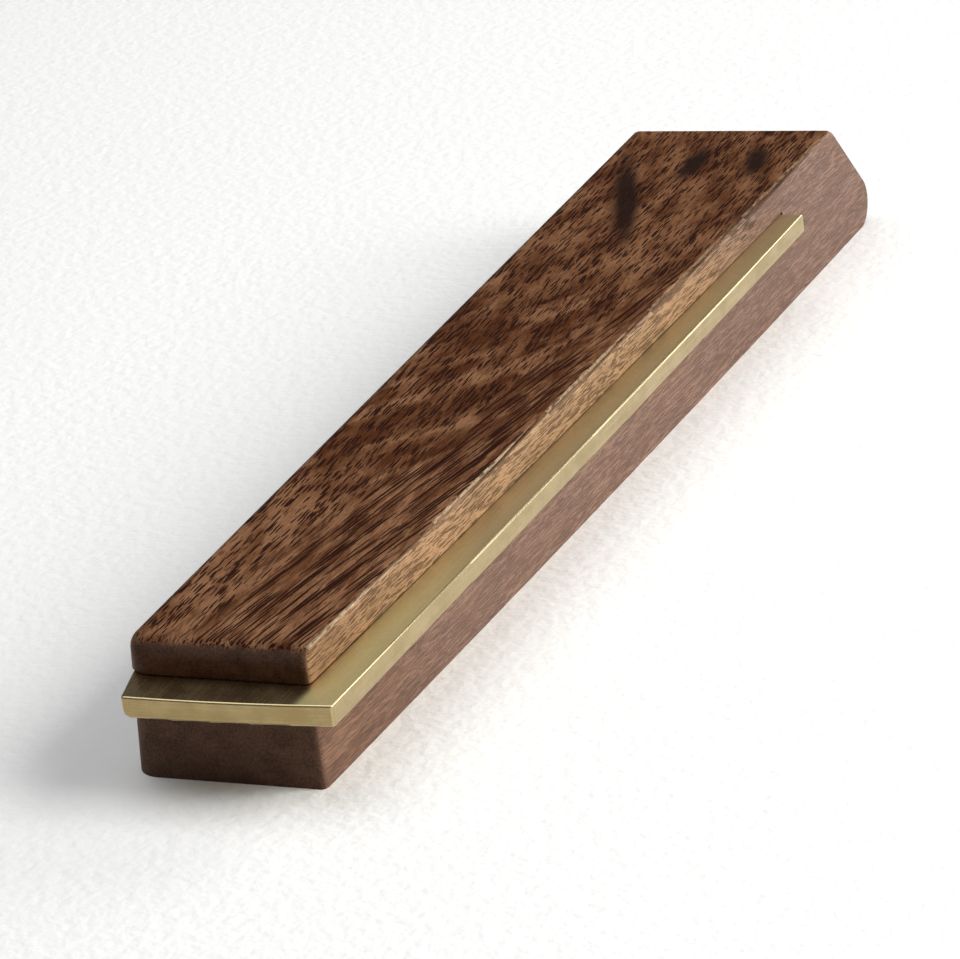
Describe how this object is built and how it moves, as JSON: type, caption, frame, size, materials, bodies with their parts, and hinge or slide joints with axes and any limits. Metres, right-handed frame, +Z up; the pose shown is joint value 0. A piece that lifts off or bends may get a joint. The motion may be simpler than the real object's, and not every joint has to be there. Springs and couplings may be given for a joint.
{
  "type": "folding bench tool with a brass blade in a walnut handle",
  "caption": "Slim walnut handle, tapered and raked at the heel, with a flat brass blade that swings out of a slot about a blind pivot and stands proud along one side and at the pivot end.",
  "frame": {"origin": "on the flat underside of the handle, straight below the blade's pivot axis", "axes": "+Y along the handle from the pivot end to the raked heel, +X to the open side of the slot where the blade stands proud, +Z up through the thin upper cheek"},
  "size_m": [0.0331, 0.183, 0.0165],
  "materials": {
    "walnut": "oiled, open pores",
    "brass": "brushed, edges polished",
    "steel": "ground",
    "bronze": "smooth",
    "dowel_wood": "plain"
  },
  "bodies": {
    "handle": {"lower_body": "walnut", "back_spacer": "walnut", "upper_cheek": "walnut", "pivot_pin": "steel", "lower_washer": "bronze", "upper_washer": "bronze", "disc_spring": "steel", "stop_pin": "steel", "spine_dowels": "dowel_wood", "heel_dowels": "dowel_wood"},
    "swinging_blade": {"blade": "brass"}
  },
  "joints": [
    {"name": "blade_swing", "type": "hinge", "parent": "handle", "child": "swinging_blade", "pos_m": [0, 0, 0.0111], "axis": [0, 0, 1], "range_deg": [-180, 0]}
  ]
}
